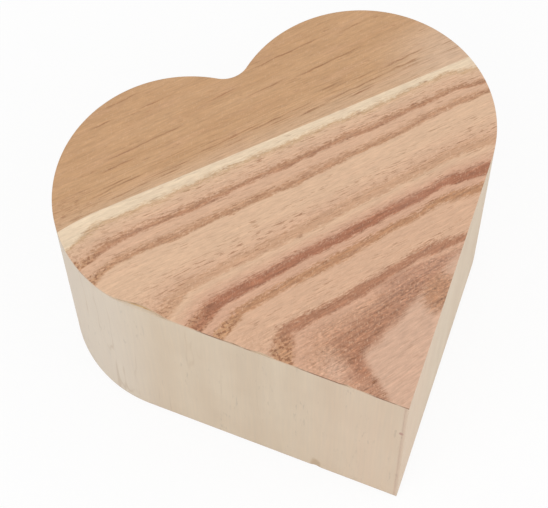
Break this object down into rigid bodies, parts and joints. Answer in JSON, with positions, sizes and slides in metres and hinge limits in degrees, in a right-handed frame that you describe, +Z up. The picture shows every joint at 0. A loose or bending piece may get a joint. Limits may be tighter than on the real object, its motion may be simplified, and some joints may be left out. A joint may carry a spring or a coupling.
{
  "type": "wind-up music box",
  "caption": "Heart-shaped wooden wind-up music box: veneered block with a striped top, comb movement inside, winding key in a recess underneath.",
  "frame": {"origin": "middle of the underside of the heart block, on the surface that it stands on", "axes": "+Z up, +X across the two lobes to the right, +Y from the heart's tip towards the cleft"},
  "size_m": [0.0976, 0.0914, 0.052],
  "materials": {
    "block_wood": "bare sawn softwood, fine grain",
    "side_wood": "pale cream veneer, satin, grain upright",
    "striped_wood": "striped reddish tan veneer, satin lacquer",
    "board_wood": "bare birch plywood",
    "screw_steel": "zinc plated",
    "cast_plate": "die cast, satin",
    "spring_steel": "blued spring steel",
    "comb_steel": "ground, bright",
    "lead": "dull grey",
    "bracket_steel": "nickel plated",
    "key_steel": "nickel plated, polished",
    "pale_nylon": "moulded, satin",
    "arbor_steel": "ground",
    "cylinder_brass": "satin brass"
  },
  "bodies": {
    "case": {"heart_body": "block_wood", "side_veneer": "side_wood", "top_veneer": "striped_wood", "mounting_board": "board_wood", "board_screws": "screw_steel", "movement_screws": "screw_steel", "bedplate": "cast_plate", "clutch_spring": "spring_steel", "comb": "comb_steel", "comb_screws": "screw_steel", "tuning_leads": "lead", "governor_bracket": "bracket_steel", "governor_screw": "screw_steel"},
    "winder": {"winding_arbor": "key_steel", "winding_key": "key_steel"},
    "barrel": {"spring_barrel": "bracket_steel", "crown_wheel": "pale_nylon", "mainspring": "spring_steel"},
    "cylinder": {"pinned_cylinder": "cylinder_brass", "cylinder_arbor": "arbor_steel", "cylinder_pinion": "pale_nylon", "cylinder_wheel": "pale_nylon"},
    "governor": {"governor_arbor": "arbor_steel", "governor_pinion": "pale_nylon", "worm_wheel": "pale_nylon"},
    "fly": {"governor_worm": "pale_nylon", "governor_fly": "pale_nylon"}
  },
  "joints": [
    {"name": "key_winding", "type": "hinge", "parent": "case", "child": "winder", "pos_m": [-0.0203, 0.01725, 0.013], "axis": [0, 0, 1], "range_deg": [0, 1440]},
    {"name": "cylinder_turn", "type": "hinge", "parent": "case", "child": "cylinder", "pos_m": [0, 0.01725, 0.03306], "axis": [1, 0, 0], "continuous": true},
    {"name": "barrel_turn", "type": "hinge", "parent": "case", "child": "barrel", "pos_m": [-0.0203, 0.01725, 0.025], "axis": [0, 0, 1], "continuous": true},
    {"name": "governor_turn", "type": "hinge", "parent": "case", "child": "governor", "pos_m": [0.01805, 0.02725, 0.03306], "axis": [1, 0, 0], "continuous": true},
    {"name": "fly_turn", "type": "hinge", "parent": "case", "child": "fly", "pos_m": [0.01805, 0.02079, 0.03306], "axis": [0, 0, 1], "continuous": true}
  ],
  "couplings": [
    {"joint": "barrel_turn", "follows": "cylinder_turn", "ratio": 0.32},
    {"joint": "governor_turn", "follows": "cylinder_turn", "ratio": -4},
    {"joint": "fly_turn", "follows": "cylinder_turn", "ratio": -96}
  ]
}
